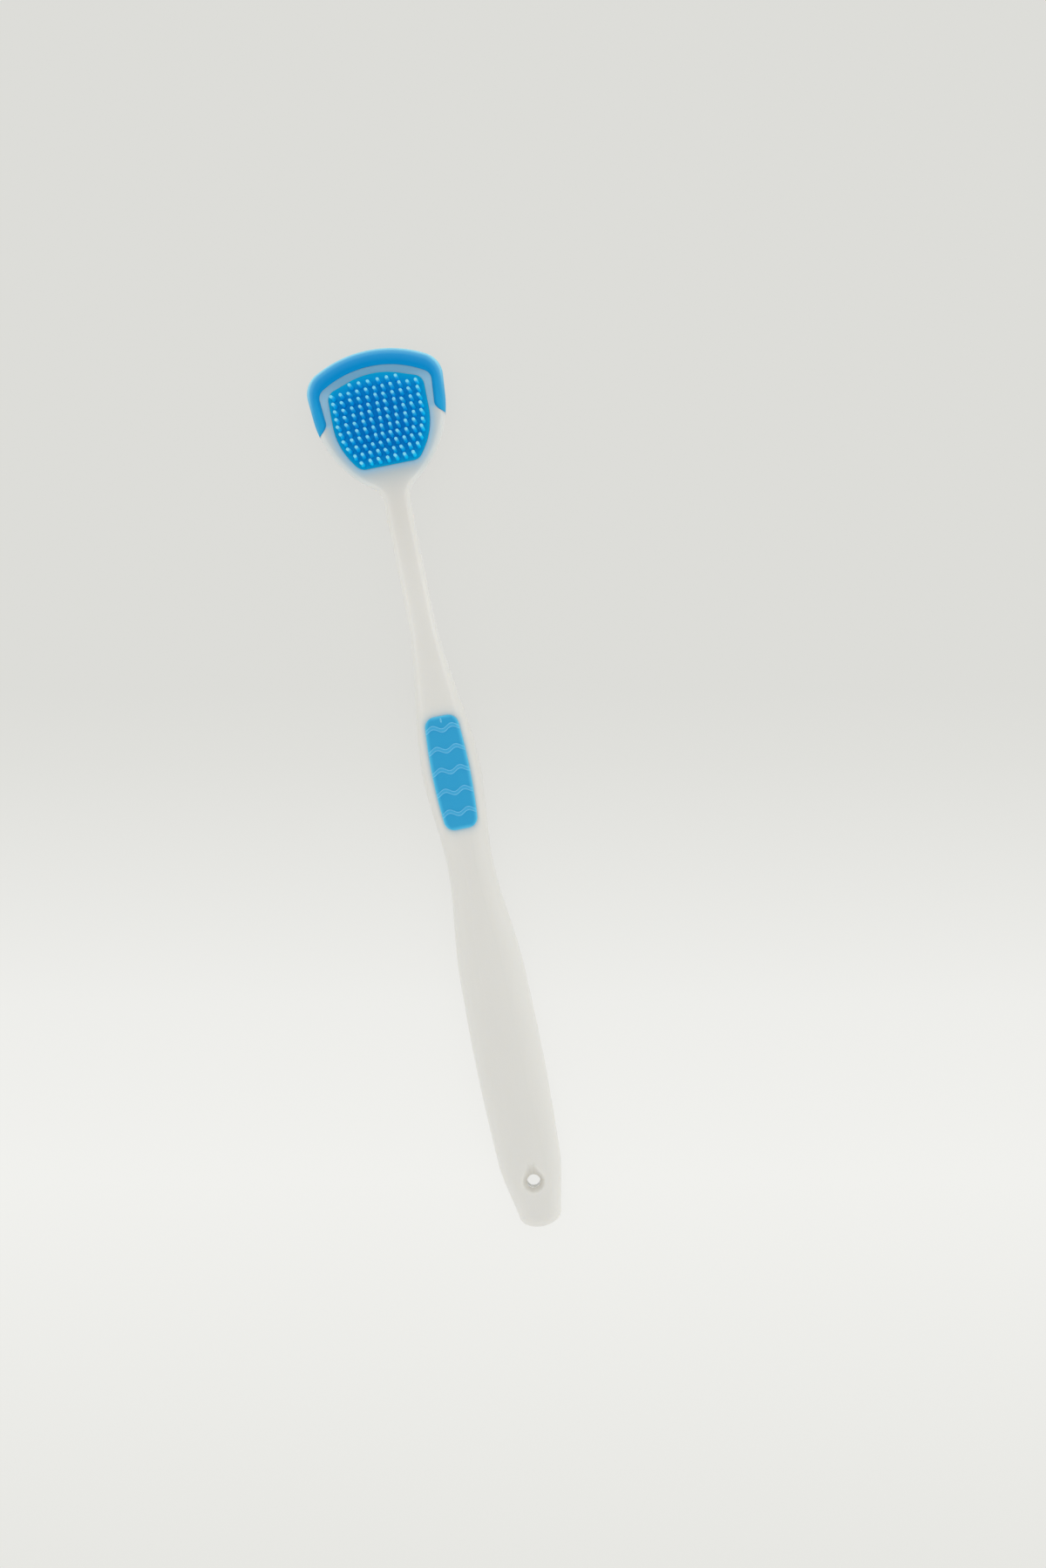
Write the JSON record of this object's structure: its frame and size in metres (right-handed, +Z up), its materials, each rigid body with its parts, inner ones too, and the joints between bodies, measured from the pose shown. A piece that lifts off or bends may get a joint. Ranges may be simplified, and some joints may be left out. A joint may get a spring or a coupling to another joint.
{
  "type": "tongue brush",
  "caption": "Slim hand-held tongue brush: white moulded handle with a hanging hole, ribbed soft thumb grip, and a shield-shaped head with a soft scraper lip and a pad of soft nubs.",
  "frame": {"origin": "middle of the object's footprint, on the surface it lies on, with the brush on its back", "axes": "+Y runs along the brush from the hanging end to the scraping edge, +Z is up on the bristle side, and X runs across it"},
  "size_m": [0.0278, 0.18, 0.0112],
  "materials": {
    "white_plastic": "satin moulded polypropylene",
    "lip_rubber": "smooth soft moulded elastomer",
    "pad_rubber": "smooth soft moulded elastomer",
    "grip_rubber": "matt soft moulded elastomer"
  },
  "bodies": {
    "root": {"handle": "white_plastic", "scraper_lip": "lip_rubber", "bristle_pad": "pad_rubber", "thumb_grip": "grip_rubber"}
  },
  "joints": []
}
